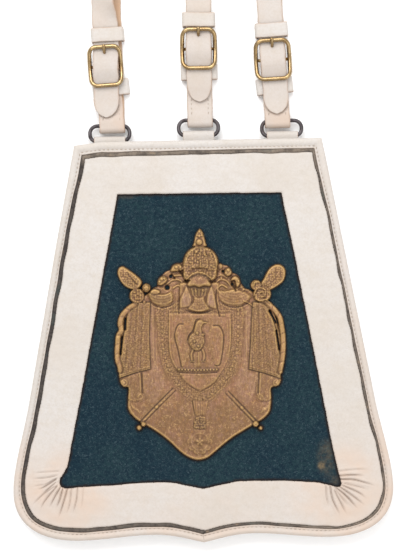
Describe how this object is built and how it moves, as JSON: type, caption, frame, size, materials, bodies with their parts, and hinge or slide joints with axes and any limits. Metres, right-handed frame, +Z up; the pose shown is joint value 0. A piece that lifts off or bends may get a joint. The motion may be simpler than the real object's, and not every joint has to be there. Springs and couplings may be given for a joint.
{
  "type": "sabretache",
  "caption": "Flat flared cavalry pouch with a cloth and white leather front, a brass plate and slings that hang it from a sword belt.",
  "frame": {"origin": "middle of the flat back of the rear pouch, where the sabretache lies on a surface", "axes": "+Z up out of the decorated front, +Y from the pointed hem to the slings, +X to the right as the front is seen"},
  "size_m": [0.2964, 0.4874, 0.029],
  "materials": {
    "white_leather": "whitened buff leather, matt, cream where it is worn, peach on cut edges",
    "pouch_leather": "undressed side of buff leather, matt, slightly napped",
    "blue_cloth": "dark blue felted wool cloth, matt, with a worn tan stain",
    "dark_piping": "narrow worn braid, dark grey brown",
    "old_brass": "cast brass, toned brown in the hollows and rubbed bright on the high parts",
    "brass": "polished yellow brass",
    "iron": "dark iron wire, slightly rubbed"
  },
  "bodies": {
    "root": {"back_pouch": "pouch_leather", "panel_leather": "pouch_leather", "cloth_field": "blue_cloth", "leather_border": "white_leather", "dark_piping": "dark_piping", "edge_binding": "white_leather", "plaque": "old_brass", "ring_tab_left": "white_leather", "ring_tab_centre": "white_leather", "ring_tab_right": "white_leather", "ring_left": "iron", "ring_centre": "iron", "ring_right": "iron", "sling_left": "white_leather", "sling_centre": "white_leather", "sling_right": "white_leather", "buckle_left": "brass", "buckle_centre": "brass", "buckle_right": "brass", "tongue_left": "brass", "tongue_centre": "brass", "tongue_right": "brass", "low_keeper_left": "white_leather", "low_keeper_centre": "white_leather", "low_keeper_right": "white_leather", "high_keeper_left": "white_leather", "high_keeper_centre": "white_leather", "high_keeper_right": "white_leather"}
  },
  "joints": []
}
